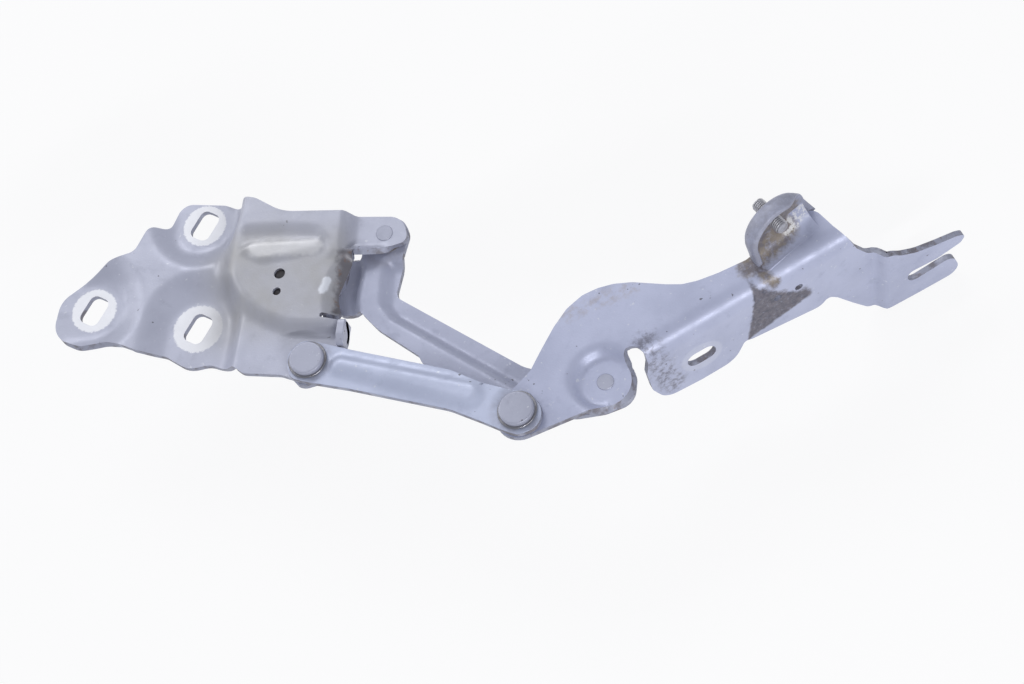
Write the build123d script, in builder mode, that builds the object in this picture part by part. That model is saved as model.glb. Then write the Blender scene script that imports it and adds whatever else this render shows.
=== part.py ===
from build123d import *
from math import atan2, cos, degrees, radians, sin, tan
import os

# Bonnet hinge of pressed steel, in millimetres. The origin is the centre of the middle body slot in the
# plane of the body mounting face, +Z points away from the body along the pivots, and +X runs along the
# open hinge. The sketches count from pivot A, on a plane that lies parallel to the mounting face.

# Pivots of the four-bar linkage, as they lie with the bonnet open
pivot_a = (0.0, 0.0)
pivot_b = (26.0, 67.5)
pivot_c = (103.0, -24.5)
pivot_d = (139.5, -6.5)

# Travel: closing turns the front link clockwise, and the other joints follow it at these ratios
closing_angle = 68.0
rear_ratio = 0.76
arm_ratio = -1.56
travel_steps = 8

# Sheet and rivets
sheet = 3.0
shank_d = 8.0
head_d = 16.3
head_h = 3.2
outer_head_h = 2.4
head_edge = 0.9
washer_od = 18.4
washer_t = 0.8
bush_wall = 0.8
bush_flange_d = 16.8
bush_flange_t = 0.5
run_clear = 0.04
axial_play = 0.05
clear = 0.5
end_proud = 0.4

# Levels above the mounting face, from the rivet head nearest to the body upwards
seat_gap = bush_flange_t + axial_play
rear_low = clear + head_h + washer_t + seat_gap
link_step = 4.5
rear_high = rear_low + link_step
web_under = rear_high + sheet + seat_gap
web_top = web_under + sheet
front_under = web_top + seat_gap
front_top = front_under + sheet
dish_under = rear_low + sheet + seat_gap
dish_top = dish_under + sheet
bush_r = shank_d / 2 + run_clear + bush_wall

# Body bracket
ground_top = 9.0
ground_draft = 45.0
panel_rise = 7.0
panel_draft = 36.0
ridge_rise = 1.5
ridge_draft = 55.0
dart_rise = 1.0
dart_draft = 50.0
press_r = 1.2
pad_r = 14.5
pad_draft = 48.0
lobe_r = 11.3
block = (-40.0, 40.0, 300.0, 240.0)
slot_width = 10.5
slot_length = 15.0
slot_angle = 67.0
middle_slot = (-64.7, 24.3)
slot_places = ((-120.0, 34.0), (-71.0, 79.5), middle_slot)
pad_ends = ((-150.0, 30.0), (-71.0, 110.0), (-66.0, -6.0))
gauge_hole_d = 5.4
gauge_hole = (-20.5, 44.0)
drain_hole_d = 4.0
drain_hole = (-20.4, 34.7)
lip_drop = 10.0
tab_x = 12.4
tab_thickness = 3.6
tab_gap = 0.5
tab_top = web_top + panel_rise

# Links
link_r = 10.4
shoulder = ((5.0, 9.0), (19.4, 5.8))
rib_width = 10.6
rib_rise = 2.0
rib_draft = 48.0
eye_r = 12.5
boss_r = 11.4
band_draft = 35.0

# Bonnet arm, in its own frame: x along the flange from pivot D, y across the web, z up
arm_angle = 33.7
arm_lobe_r = 11.5
dish_r = 12.0
dish_draft = 45.0
bend_r = 9.0
flange_face = -1.0
crown_centre = (11.5, 2.0)
crown_r = 39.0
crown_round = 2.4
notch_place = (17.1, 2.4)
notch_r = 4.6
bonnet_slot = (44.2, -11.1)
bonnet_slot_l = 14.5
bonnet_slot_w = 10.0
strip_hole_d = 4.0
strip_holes = ((86.3, 0.6), (97.0, -0.3))
jog = 5.0
jog_run = 4.0
jog_x = 127.0
jog_lean = 0.16
fork_z = -38.2
fork_slot_w = 9.8
fork_root = 146.9
fork_tip = 175.0
lug_place = (99.3, 18.0)
lug_turn = 11.0
lug_z = 29.0
lug_r = 17.5
lug_depth = 8.0
lug_bend = 4.5
rim_angle = 30.0
stud_d = 6.0
stud_end_d = 6.8
stud_inside = 7.5
stud_outside = 8.0
stud_rise = 3.0
stud_z = lug_z + stud_rise

os.makedirs("parts", exist_ok=True)


def turned(point, angle):
    """The point after a turn about the origin, in degrees."""
    a = radians(angle)
    return (point[0] * cos(a) - point[1] * sin(a), point[0] * sin(a) + point[1] * cos(a))


def plus(p, q):
    return (p[0] + q[0], p[1] + q[1])


def minus(p, q):
    return (p[0] - q[0], p[1] - q[1])


def skin(draft):
    """How far a wall of this draft stands inside the one above it, for a sheet of even thickness."""
    return sheet * (1 - sin(radians(draft))) / cos(radians(draft))


def drift(angle):
    """How far the arm's pivot D runs from the rear link's, seen from the rear link."""
    arm_end = turned(minus(pivot_d, pivot_c), -angle * (1 + arm_ratio))
    on_arm = plus(turned(pivot_c, -angle), arm_end)
    on_link = plus(pivot_b, turned(minus(pivot_d, pivot_b), -angle * rear_ratio))
    return turned(minus(on_arm, on_link), angle * rear_ratio)


def rounded(*corners):
    """A closed outline through corners of x, y and radius, each radius no more than its sides allow."""
    points = [Vector(x, y) for x, y, r in corners]
    fitted = []
    for k, (x, y, r) in enumerate(corners):
        before = points[k] - points[k - 1]
        after = points[(k + 1) % len(points)] - points[k]
        turn = radians(before.get_angle(after))
        fitted.append(min(r, 0.48 * min(before.length, after.length) / tan(turn / 2)))
    return FilletPolyline(*points, radius=fitted, close=True)


# The plane through pivot A that the bracket and the links are drawn on, in the mounting face
base = Plane(origin=(-middle_slot[0], -middle_slot[1], 0), x_dir=(1, 0, 0), z_dir=(0, 0, 1))


def pivot_axis(place, z, up):
    """The plane across a pivot at height z, facing up or down."""
    return Plane(origin=base.from_local_coords((*place, z)), x_dir=(1, 0, 0), z_dir=(0, 0, up))


# The arm's own planes: flat on the web, along the flange seen from outside, and on the lug's wall
arm_x = (*turned((1, 0), arm_angle), 0)
arm_y = (*turned((0, 1), arm_angle), 0)
arm_origin = base.from_local_coords((*pivot_d, 0))
arm_plane = Plane(origin=arm_origin, x_dir=arm_x, z_dir=(0, 0, 1))
arm_side = Plane(origin=arm_origin, x_dir=arm_x, z_dir=tuple(-v for v in arm_y))
arm_lobe = turned(minus(pivot_c, pivot_d), -arm_angle)
lug_origin = arm_plane.from_local_coords((*lug_place, 0))
lug_x = (*turned((1, 0), arm_angle + lug_turn), 0)
lug_in = (*turned((0, -1), arm_angle + lug_turn), 0)
lug_plane = Plane(origin=lug_origin, x_dir=lug_x, z_dir=lug_in)


def rivet(one, place, z, up, height):
    """A pivot rivet from the sheet that holds it through bushes, link and washer to its head."""
    grip = sheet + seat_gap + sheet + seat_gap + washer_t
    axis = pivot_axis(place, z, up)
    with BuildSketch(axis) as profile:
        Circle(shank_d / 2)
    extrude(profile.sketch, amount=grip)
    with BuildSketch(axis.offset(grip)) as profile:
        Circle(head_d / 2)
    extrude(profile.sketch, amount=height)
    fillet(one.faces().sort_by(Axis.Z)[-1 if up > 0 else 0].edges(), head_edge)


def riveted_end(one, place, z, up):
    """The rivet's closed end, upset a little proud of the sheet."""
    with BuildSketch(pivot_axis(place, z, -up)) as profile:
        Circle(shank_d / 2)
    extrude(profile.sketch, amount=end_proud)
    chamfer(one.faces().sort_by(Axis.Z)[0 if up > 0 else -1].edges(), end_proud * 0.7)


def washer(one, place, z):
    with BuildSketch(base.offset(z)) as profile:
        with Locations(place):
            Circle(washer_od / 2)
            Circle(shank_d / 2, mode=Mode.SUBTRACT)
    extrude(profile.sketch, amount=washer_t)
    chamfer(one.edges().filter_by(GeomType.CIRCLE).sort_by(SortBy.RADIUS)[-2:], washer_t / 4)


def bush(place, z, up):
    """A flanged bush: its flange starts at z and its sleeve reaches on into the link's eye."""
    axis = pivot_axis(place, z, up)
    with BuildSketch(axis) as profile:
        Circle(bush_flange_d / 2)
    extrude(profile.sketch, amount=bush_flange_t)
    with BuildSketch(axis) as profile:
        Circle(bush_r)
    extrude(profile.sketch, amount=bush_flange_t + sheet / 2 - axial_play)
    with BuildSketch(axis) as profile:
        Circle(shank_d / 2 + run_clear)
    extrude(profile.sketch, amount=bush_flange_t + sheet / 2 - axial_play, mode=Mode.SUBTRACT)


def soften(one, level, radius):
    """Rounds the edges that the last step made at this level, inside or outside."""
    edges = [e for e in one.edges(Select.LAST) if max(abs(v.Z - level) for v in e.vertices()) < 1e-4]
    fillet(edges, radius)


def raised(one, corners, level, rise, draft, depth, top_r=0):
    """A pressed area whose foot is at level, or its underside where depth is the sheet."""
    with BuildSketch(base.offset(level - depth)) as profile:
        with BuildLine():
            rounded(*corners)
        make_face()
        if depth > 0:
            offset(amount=-skin(draft), kind=Kind.INTERSECTION)
    extrude(profile.sketch, amount=rise, taper=draft)
    if top_r > 0:
        soften(one, level - depth + rise, top_r + sheet - depth)


def bracket_die(one, depth):
    """The solid under the bracket's face, or under its lower face where depth is the sheet."""
    with BuildSketch(base.offset(-2 * sheet)) as profile:
        with Locations(block[:2]):
            Rectangle(*block[2:])
    extrude(profile.sketch, amount=ground_top + 2 * sheet - depth)
    raised(one, ((-46, -70, 0), (100, -70, 0), (100, 150, 0), (-57, 150, 0), (-57.5, 43, 14),
                 (-47.5, 19, 14)), ground_top, web_top - ground_top, ground_draft, depth, press_r)
    raised(one, ((7.2, 14.8, 0), (90, 14.8, 0), (90, 57.5, 0), (12.8, 57.5, 4), (12.8, 140, 0), (-48, 140, 0),
                 (-48.5, 36, 15), (-30, 23.5, 14), (-17, 15.8, 16)),
           web_top, panel_rise - ridge_rise, panel_draft, depth, press_r)
    raised(one, ((7, 60, 4), (7, 140, 0), (-40, 140, 0), (-41, 67, 8), (-19, 67.5, 30), (-0.5, 66.5, 8), (4, 60, 4)),
           web_top + panel_rise - ridge_rise, ridge_rise, ridge_draft, depth)
    raised(one, ((-2.5, 53.5, 4), (-3, 62, 4), (-37, 61, 4), (-43.5, 55.5, 3.5), (-31, 50, 8)),
           web_top + panel_rise - ridge_rise, dart_rise, dart_draft, depth)
    pad_foot = pad_r + (skin(pad_draft) if depth > 0 else 0)
    for place, end in zip(slot_places, pad_ends):
        with BuildSketch(base.offset(sheet - depth)) as profile:
            with Locations(place, end):
                Circle(pad_foot)
            make_hull()
        extrude(profile.sketch, amount=web_top + panel_rise, taper=-pad_draft, mode=Mode.SUBTRACT)


with BuildPart() as bracket_face:
    bracket_die(bracket_face, 0)
with BuildPart() as bracket_under:
    bracket_die(bracket_under, sheet)

# Body bracket
with BuildPart() as body_bracket:
    add(bracket_face.part)
    add(bracket_under.part, mode=Mode.SUBTRACT)
    with BuildSketch(base.offset(-3 * sheet)) as bracket_outline:
        with BuildLine():
            rounded(
                (-92, 10.6, 12), (-79, 10, 8), (-66, 3, 12), (-55, 5.6, 10), (-38, 1.2, 7), (-31, -4.2, 6),
                (-14, -5.5, 6), (-8, -7.2, 3), (-4.4, -10.7, 3), (2, -11.1, 1), (11, 2.5, 3), (16, 9, 2),
                (16, 20.1, 1), (11.6, 20.1, 2), (2.6, 21.6, 0.8), (2.6, 23.7, 0.8), (10.3, 23.7, 1.2),
                (7.4, 31.4, 6), (9.8, 57.5, 1.5), (16.4, 57.2, 8), (28.3, 60.3, 5), (37.4, 63.6, 4), (30.5, 73.9, 9),
                (9, 75.4, 8), (-24.2, 76.2, 24), (-38.5, 84, 9), (-47.5, 85.6, 8), (-62, 90.5, 10), (-84.3, 91.6, 7),
                (-88, 76.6, 4), (-97.3, 76.4, 5), (-102.4, 63, 6), (-115, 58.6, 14), (-138.5, 39, 12),
                (-139.6, 20, 14), (-123, 14.2, 10), (-110, 16.6, 12))
        make_face()
        with Locations(pivot_a):
            Circle(lobe_r)
    extrude(amount=20 * sheet, mode=Mode.INTERSECT)
    # The panel's free edge is bent down beside the rear link
    with BuildSketch(base.offset(web_top + panel_rise - sheet)):
        with BuildLine():
            Polyline((9.9, 55), (6.6, 55), (4.4, 31.4), (7.1, 24), (10.2, 24), (7.4, 31.4), close=True)
        make_face()
    extrude(amount=-(lip_drop - sheet))
    # Stop tab for the front link's shoulder, bent up from the lobe
    slope = (shoulder[1][1] - shoulder[0][1]) / (shoulder[1][0] - shoulder[0][0])
    tab_foot = shoulder[0][1] + (tab_x - shoulder[0][0]) * slope + tab_gap
    tab_side = Plane(origin=base.from_local_coords((tab_x, 0, 0)), x_dir=(0, 1, 0), z_dir=(1, 0, 0))
    with BuildSketch(tab_side):
        with BuildLine():
            Polyline((20.1, web_under), (20.1, tab_top), (12.2, tab_top), (tab_foot, front_top + 1.2),
                     (tab_foot, web_under), close=True)
        make_face()
    extrude(amount=tab_thickness)
    with BuildSketch(base.offset(-sheet)):
        with Locations(*slot_places):
            RectangleRounded(slot_length, slot_width, 3.4, rotation=slot_angle)
        with Locations(gauge_hole):
            Circle(gauge_hole_d / 2)
        with Locations(drain_hole):
            Circle(drain_hole_d / 2)
        with Locations(pivot_a, pivot_b):
            Circle(shank_d / 2)
    extrude(amount=20 * sheet, mode=Mode.SUBTRACT)
body_bracket.part.label = "body_bracket"
export_step(body_bracket.part, "parts/body_bracket.step")

# Front link, pivots A and C
rib_ends = ((19, -3.2), (74, -14.6))
rib_centre = ((rib_ends[0][0] + rib_ends[1][0]) / 2, (rib_ends[0][1] + rib_ends[1][1]) / 2)
rib_run = Vector(*rib_ends[1]) - Vector(*rib_ends[0])
rib_angle = degrees(atan2(rib_run.Y, rib_run.X))
with BuildPart() as front_link:
    with BuildSketch(base.offset(front_under)):
        with Locations(pivot_a, pivot_c):
            Circle(link_r)
        with BuildLine():
            rounded(
                (0, -10.3, 0), (22, -14.2, 20), (71, -24, 30), (86, -29.6, 30), (100.3, -34.7, 0), (106, -14.6, 0),
                (98.6, -14.1, 10), (84, -10.4, 20), (69, -4.2, 30), (*shoulder[1], 20), (*shoulder[0], 0))
        make_face()
    extrude(amount=sheet)
    with BuildSketch(base.offset(front_top)):
        with Locations(rib_centre):
            SlotCenterToCenter(rib_run.length, rib_width, rotation=rib_angle)
    extrude(amount=rib_rise, taper=rib_draft)
    with BuildSketch(base.offset(front_under)):
        with Locations(rib_centre):
            SlotCenterToCenter(rib_run.length, rib_width - 2 * skin(rib_draft), rotation=rib_angle)
    extrude(amount=rib_rise, taper=rib_draft, mode=Mode.SUBTRACT)
    with BuildSketch(base.offset(front_under)):
        with Locations(pivot_a, pivot_c):
            Circle(bush_r)
    extrude(amount=2 * sheet, mode=Mode.SUBTRACT)
front_link.part.label = "front_link"
export_step(front_link.part, "parts/front_link.step")


def rear_die(one, depth):
    """The solid under the rear link's face, or under its lower face where depth is the sheet."""
    with BuildSketch(base.offset(-sheet)) as profile:
        with Locations((80, 20)):
            Rectangle(240, 240)
    extrude(profile.sketch, amount=rear_low + 2 * sheet - depth)
    raised(one, ((30, 53, 3), (48, 53, 0), (48, 94, 0), (2, 94, 0), (2, 58, 0), (13.6, 55, 4), (13.6, 30, 4),
            (20, 5, 10), (60, -40, 0), (116, -44, 0), (103, -9, 6), (34.7, 29.9, 10), (30.3, 36, 4)),
           rear_low + sheet, link_step, band_draft, depth)


with BuildPart() as rear_face:
    rear_die(rear_face, 0)
with BuildPart() as rear_under:
    rear_die(rear_under, sheet)

# Rear link, pivots B and D
with BuildPart() as rear_link:
    add(rear_face.part)
    add(rear_under.part, mode=Mode.SUBTRACT)
    with BuildSketch(base.offset(-sheet)):
        with BuildLine():
            rounded(
                (14.8, 66, 2), (17.6, 56, 1), (3.5, 56.8, 4), (1.5, 33, 5), (9, 28.4, 4), (18.5, 28.8, 3),
                (28.8, 19.3, 20), (50.2, 6.1, 2), (52.5, 2.4, 2), (96, -21.8, 14), (127, -22.5, 10), (137, -18.8, 0),
                (144, 5.2, 0), (132, 5.6, 12), (115, 0, 30), (100.5, 1.9, 20), (33.4, 38.2, 5), (36, 66, 4))
        make_face()
        with Locations(pivot_b):
            Circle(boss_r)
        with Locations(pivot_d):
            Circle(eye_r)
    extrude(amount=10 * sheet, mode=Mode.INTERSECT)
    with BuildSketch(base.offset(-sheet)):
        with Locations(pivot_b):
            Circle(bush_r)
    extrude(amount=10 * sheet, mode=Mode.SUBTRACT)
    # The eye is long enough for the arm's pivot over the whole travel
    with BuildSketch(base.offset(-sheet)):
        with Locations(*[plus(pivot_d, drift(closing_angle * k / travel_steps)) for k in range(travel_steps + 1)]):
            Circle(bush_r + clear / 2)
        make_hull()
    extrude(amount=10 * sheet, mode=Mode.SUBTRACT)
rear_link.part.label = "rear_link"
export_step(rear_link.part, "parts/rear_link.step")


def arm_die(one, depth):
    """The solid under the arm's face, or inside it where depth is the sheet."""
    low = -70.0
    with BuildSketch(arm_plane.offset(low)) as profile:
        with Locations(((-80 + notch_place[0]) / 2, 20)):
            Rectangle(80 + notch_place[0], 120)
    extrude(profile.sketch, amount=web_top - depth - low)
    across = Plane(origin=arm_plane.from_local_coords((notch_place[0], 0, 0)), x_dir=arm_y, z_dir=arm_x)
    with BuildSketch(across) as profile:
        with BuildLine():
            rounded(
                (flange_face + depth, low, 0), (80, low, 0), (80, web_top - depth, 0),
                (flange_face + depth, web_top - depth, bend_r - depth))
        make_face()
    extrude(profile.sketch, amount=140)
    # The dish round pivot D, with soft bends at its floor and its rim
    floor_r = dish_r + (skin(dish_draft) if depth > 0 else 0)
    rim_r = floor_r + (web_top - dish_top) * tan(radians(dish_draft))
    with BuildSketch(arm_side) as profile:
        with BuildLine():
            rounded(
                (0, dish_top - depth, 0), (floor_r, dish_top - depth, 0.6 + depth),
                (rim_r, web_top - depth, press_r + sheet - depth), (3 * dish_r, web_top - depth, 0),
                (3 * dish_r, 2 * web_top, 0), (0, 2 * web_top, 0))
        make_face()
    revolve(profile.sketch, axis=Axis(arm_origin, (0, 0, 1)), mode=Mode.SUBTRACT)


with BuildPart() as arm_face:
    arm_die(arm_face, 0)
with BuildPart() as arm_under:
    arm_die(arm_under, sheet)

# Bonnet arm
with BuildPart() as bonnet_arm:
    add(arm_face.part)
    add(arm_under.part, mode=Mode.SUBTRACT)
    # Outline seen along the pivots: a crowned web, the eye for pivot C and the flange in front
    with BuildSketch(arm_plane.offset(-80)):
        with Locations(crown_centre):
            Circle(crown_r)
        with Locations((0, -45)):
            Rectangle(200, 100, mode=Mode.SUBTRACT)
        with BuildLine():
            rounded(
                (-41.9, -6.1, 0), (-1.6, -11.9, 0), (11.8, -2, 0), (notch_place[0], -10, 0), (140, -10, 0),
                (132, 26, 2), (82, 15.4, 4), (70, 16.6, 30), (56, 18.6, 20), (38, 31.5, 4), (11, 36, 4), (-18, 26, 0),
                (-28, 21.8, 4), (-44, 14, 0))
        make_face()
        with Locations(arm_lobe):
            Circle(arm_lobe_r)
        Circle(dish_r)
    extrude(amount=140, mode=Mode.INTERSECT)
    # Strip beyond the jog, which carries the fork
    with BuildSketch(arm_plane.offset(-60)):
        with BuildLine():
            rounded(
                (112, flange_face, 0), (jog_x, flange_face, 5), (jog_x + jog_run, flange_face - jog, 5),
                (fork_tip + 5, flange_face - jog, 0), (fork_tip + 5, flange_face - jog + sheet, 0),
                (jog_x + jog_run + 1.2, flange_face - jog + sheet, 2), (jog_x + 1.2, flange_face + sheet, 8),
                (112, flange_face + sheet, 0))
        make_face()
    extrude(amount=70, dir=Vector(*arm_x) * jog_lean + Vector(0, 0, 1))
    # Outline seen from the side
    with BuildSketch(arm_side.offset(-60)):
        with BuildLine():
            rounded(
                (-60, 4, 0), (notch_place[0] - 2, 4, 0), (notch_place[0] - 2, bend_r - 2, 0), (21.6, bend_r - 2, 0),
                (18, -0.5, 4), (17.4, -16, 8), (21.5, -29.2, 9), (40, -31, 10), (57.5, -30.6, 12), (65.2, -19.4, 4),
                (68.5, -21.2, 3), (103.7, -27, 6), (108.4, -22.4, 4), (111.8, -26, 6), (123.6, -52, 7),
                (150, -54.4, 20), (fork_tip - 4.7, -53.8, 5.4), (fork_tip - 4.2, -38, 0),
                (fork_tip + 1, -37, 0), (fork_tip + 1, -24.3, 5), (160, -21.4, 20), (147, -19, 20), (131, -1.5, 12),
                (124.5, 11, 10), (120, 22, 4), (-60, 22, 0))
        make_face()
    extrude(amount=140, mode=Mode.INTERSECT)
    # Notch between the eye of pivot D and the flange
    with BuildSketch(arm_plane.offset(4)):
        with Locations(notch_place):
            Circle(notch_r)
        with Locations((notch_place[0], notch_place[1] - 10)):
            Rectangle(2 * notch_r, 20)
    extrude(amount=20, mode=Mode.SUBTRACT)
    # Lug for the gas strut: a cup that stands on the web's far edge and opens across the arm
    with BuildSketch(lug_plane.offset(-sheet)):
        with BuildLine():
            lug_arc = ThreePointArc((lug_r, lug_z), (0, lug_z + lug_r), (-lug_r, lug_z))
            Polyline((-lug_r, lug_z), (-lug_r, web_under), (lug_r + 4, web_under), (lug_r, lug_z))
        make_face()
    extrude(amount=sheet + lug_depth)
    cup_r = lug_r - sheet
    with BuildSketch(lug_plane):
        with BuildLine():
            rim_end = plus((0, lug_z), turned((cup_r, 0), rim_angle))
            cup_arc = ThreePointArc(rim_end, (0, lug_z + cup_r), (-cup_r, lug_z))
            Polyline((-cup_r, lug_z), (-cup_r, web_top), (2 * lug_r, web_top), (2 * lug_r, rim_end[1] + lug_r / 2),
                     rim_end)
        make_face()
    extrude(amount=lug_depth, mode=Mode.SUBTRACT)
    with BuildSketch(lug_plane.offset(-2 * sheet)):
        with Locations((0, stud_z)):
            Circle(stud_d / 2)
    extrude(amount=3 * sheet, mode=Mode.SUBTRACT)
    # Slots and holes through the flange and the strip
    with BuildSketch(arm_side.offset(-2 * sheet)):
        with Locations(bonnet_slot):
            SlotOverall(bonnet_slot_l, bonnet_slot_w)
        with Locations(*strip_holes):
            Circle(strip_hole_d / 2)
        with Locations(((fork_root + fork_tip) / 2 + fork_slot_w, fork_z)):
            SlotOverall(fork_tip - fork_root + 2 * fork_slot_w, fork_slot_w)
    extrude(amount=jog + 4 * sheet, mode=Mode.SUBTRACT)
    with BuildSketch(base):
        with Locations(pivot_c, pivot_d):
            Circle(shank_d / 2)
    extrude(amount=10 * sheet, mode=Mode.SUBTRACT)
bonnet_arm.part.label = "bonnet_arm"
export_step(bonnet_arm.part, "parts/bonnet_arm.step")

# Stud for the gas strut, screwed through the cup
with BuildPart() as strut_stud:
    with BuildSketch(lug_plane.offset(-sheet)):
        with Locations((0, stud_z)):
            Circle(stud_d / 2)
    extrude(amount=sheet + stud_inside)
    chamfer(strut_stud.faces().sort_by(lambda f: lug_plane.to_local_coords(f.center()).Z)[-1].edges(), 0.6)
    with BuildSketch(lug_plane.offset(-sheet)):
        with Locations((0, stud_z)):
            Circle(stud_end_d / 2)
    extrude(amount=-stud_outside)
    chamfer(strut_stud.faces().sort_by(lambda f: lug_plane.to_local_coords(f.center()).Z)[0].edges(), 0.8)
strut_stud.part.label = "strut_stud"
export_step(strut_stud.part, "parts/strut_stud.step")

# Pivot rivets: A in the bracket and C in the arm are headed on the outside, B and D on the body side
with BuildPart() as rivet_a:
    rivet(rivet_a, pivot_a, web_under, 1, outer_head_h)
rivet_a.part.label = "rivet_a"
export_step(rivet_a.part, "parts/rivet_a.step")

with BuildPart() as rivet_b:
    rivet(rivet_b, pivot_b, web_top, -1, head_h)
    riveted_end(rivet_b, pivot_b, web_top, -1)
rivet_b.part.label = "rivet_b"
export_step(rivet_b.part, "parts/rivet_b.step")

with BuildPart() as rivet_c:
    rivet(rivet_c, pivot_c, web_under, 1, outer_head_h)
rivet_c.part.label = "rivet_c"
export_step(rivet_c.part, "parts/rivet_c.step")

with BuildPart() as rivet_d:
    rivet(rivet_d, pivot_d, dish_top, -1, head_h)
    riveted_end(rivet_d, pivot_d, dish_top, -1)
rivet_d.part.label = "rivet_d"
export_step(rivet_d.part, "parts/rivet_d.step")

# Washers under the rivet heads
with BuildPart() as washer_a:
    washer(washer_a, pivot_a, front_top + seat_gap)
washer_a.part.label = "washer_a"
export_step(washer_a.part, "parts/washer_a.step")

with BuildPart() as washer_b:
    washer(washer_b, pivot_b, rear_high - seat_gap - washer_t)
washer_b.part.label = "washer_b"
export_step(washer_b.part, "parts/washer_b.step")

with BuildPart() as washer_c:
    washer(washer_c, pivot_c, front_top + seat_gap)
washer_c.part.label = "washer_c"
export_step(washer_c.part, "parts/washer_c.step")

with BuildPart() as washer_d:
    washer(washer_d, pivot_d, rear_low - seat_gap - washer_t)
washer_d.part.label = "washer_d"
export_step(washer_d.part, "parts/washer_d.step")

# Flanged bushes, two in each link eye, one from the rivet head's side and one from the sheet's side
with BuildPart() as head_bush_a:
    bush(pivot_a, front_top + bush_flange_t, -1)
head_bush_a.part.label = "head_bush_a"
export_step(head_bush_a.part, "parts/head_bush_a.step")

with BuildPart() as sheet_bush_a:
    bush(pivot_a, front_under - bush_flange_t, 1)
sheet_bush_a.part.label = "sheet_bush_a"
export_step(sheet_bush_a.part, "parts/sheet_bush_a.step")

with BuildPart() as head_bush_b:
    bush(pivot_b, rear_high - bush_flange_t, 1)
head_bush_b.part.label = "head_bush_b"
export_step(head_bush_b.part, "parts/head_bush_b.step")

with BuildPart() as sheet_bush_b:
    bush(pivot_b, rear_high + sheet + bush_flange_t, -1)
sheet_bush_b.part.label = "sheet_bush_b"
export_step(sheet_bush_b.part, "parts/sheet_bush_b.step")

with BuildPart() as head_bush_c:
    bush(pivot_c, front_top + bush_flange_t, -1)
head_bush_c.part.label = "head_bush_c"
export_step(head_bush_c.part, "parts/head_bush_c.step")

with BuildPart() as sheet_bush_c:
    bush(pivot_c, front_under - bush_flange_t, 1)
sheet_bush_c.part.label = "sheet_bush_c"
export_step(sheet_bush_c.part, "parts/sheet_bush_c.step")

with BuildPart() as head_bush_d:
    bush(pivot_d, rear_low - seat_gap, 1)
head_bush_d.part.label = "head_bush_d"
export_step(head_bush_d.part, "parts/head_bush_d.step")

with BuildPart() as sheet_bush_d:
    bush(pivot_d, rear_low + sheet + seat_gap, -1)
sheet_bush_d.part.label = "sheet_bush_d"
export_step(sheet_bush_d.part, "parts/sheet_bush_d.step")
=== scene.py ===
import bmesh
import bpy
from math import atan2, cos, hypot, pi, radians, sin, tan
from mathutils import Matrix, Vector
from mathutils.geometry import convex_hull_2d, delaunay_2d_cdt
from mathutils.kdtree import KDTree


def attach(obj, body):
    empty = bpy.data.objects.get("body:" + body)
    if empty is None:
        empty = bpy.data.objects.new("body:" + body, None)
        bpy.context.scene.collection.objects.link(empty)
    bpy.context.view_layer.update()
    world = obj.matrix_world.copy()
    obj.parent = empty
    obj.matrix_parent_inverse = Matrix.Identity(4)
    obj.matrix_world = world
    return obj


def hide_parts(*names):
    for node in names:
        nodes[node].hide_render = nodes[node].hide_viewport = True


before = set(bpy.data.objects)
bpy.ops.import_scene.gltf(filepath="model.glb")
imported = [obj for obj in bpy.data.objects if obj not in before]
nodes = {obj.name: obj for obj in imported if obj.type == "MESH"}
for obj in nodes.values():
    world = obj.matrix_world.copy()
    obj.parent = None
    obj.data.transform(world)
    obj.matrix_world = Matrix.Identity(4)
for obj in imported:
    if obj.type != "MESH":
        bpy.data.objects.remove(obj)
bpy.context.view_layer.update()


class Wire:
    """A socket of a finish, on which arithmetic adds Math nodes."""

    def __init__(self, finish, socket):
        self.finish = finish
        self.socket = socket

    def math(self, operation, *others, first=None):
        values = [self if first is None else first, *others]
        return self.finish.add("ShaderNodeMath", {"operation": operation}, dict(enumerate(values)))

    def __add__(self, other):
        return self.math("ADD", other)

    def __radd__(self, other):
        return self.math("ADD", other)

    def __sub__(self, other):
        return self.math("SUBTRACT", other)

    def __rsub__(self, other):
        return self.math("SUBTRACT", self, first=other)

    def __mul__(self, other):
        return self.math("MULTIPLY", other)

    def __rmul__(self, other):
        return self.math("MULTIPLY", other)

    def __truediv__(self, other):
        return self.math("DIVIDE", other)

    def __pow__(self, other):
        return self.math("POWER", other)

    def clamped(self):
        return self.math("MAXIMUM", 0.0).math("MINIMUM", 1.0)

    def step(self, low, high, start=0.0, end=1.0):
        """Goes smoothly from start to end while this value goes from low to high."""
        sockets = {"Value": self, "From Min": low, "From Max": high, "To Min": start, "To Max": end}
        return self.finish.add("ShaderNodeMapRange", {"interpolation_type": "SMOOTHSTEP"}, sockets)


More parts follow.
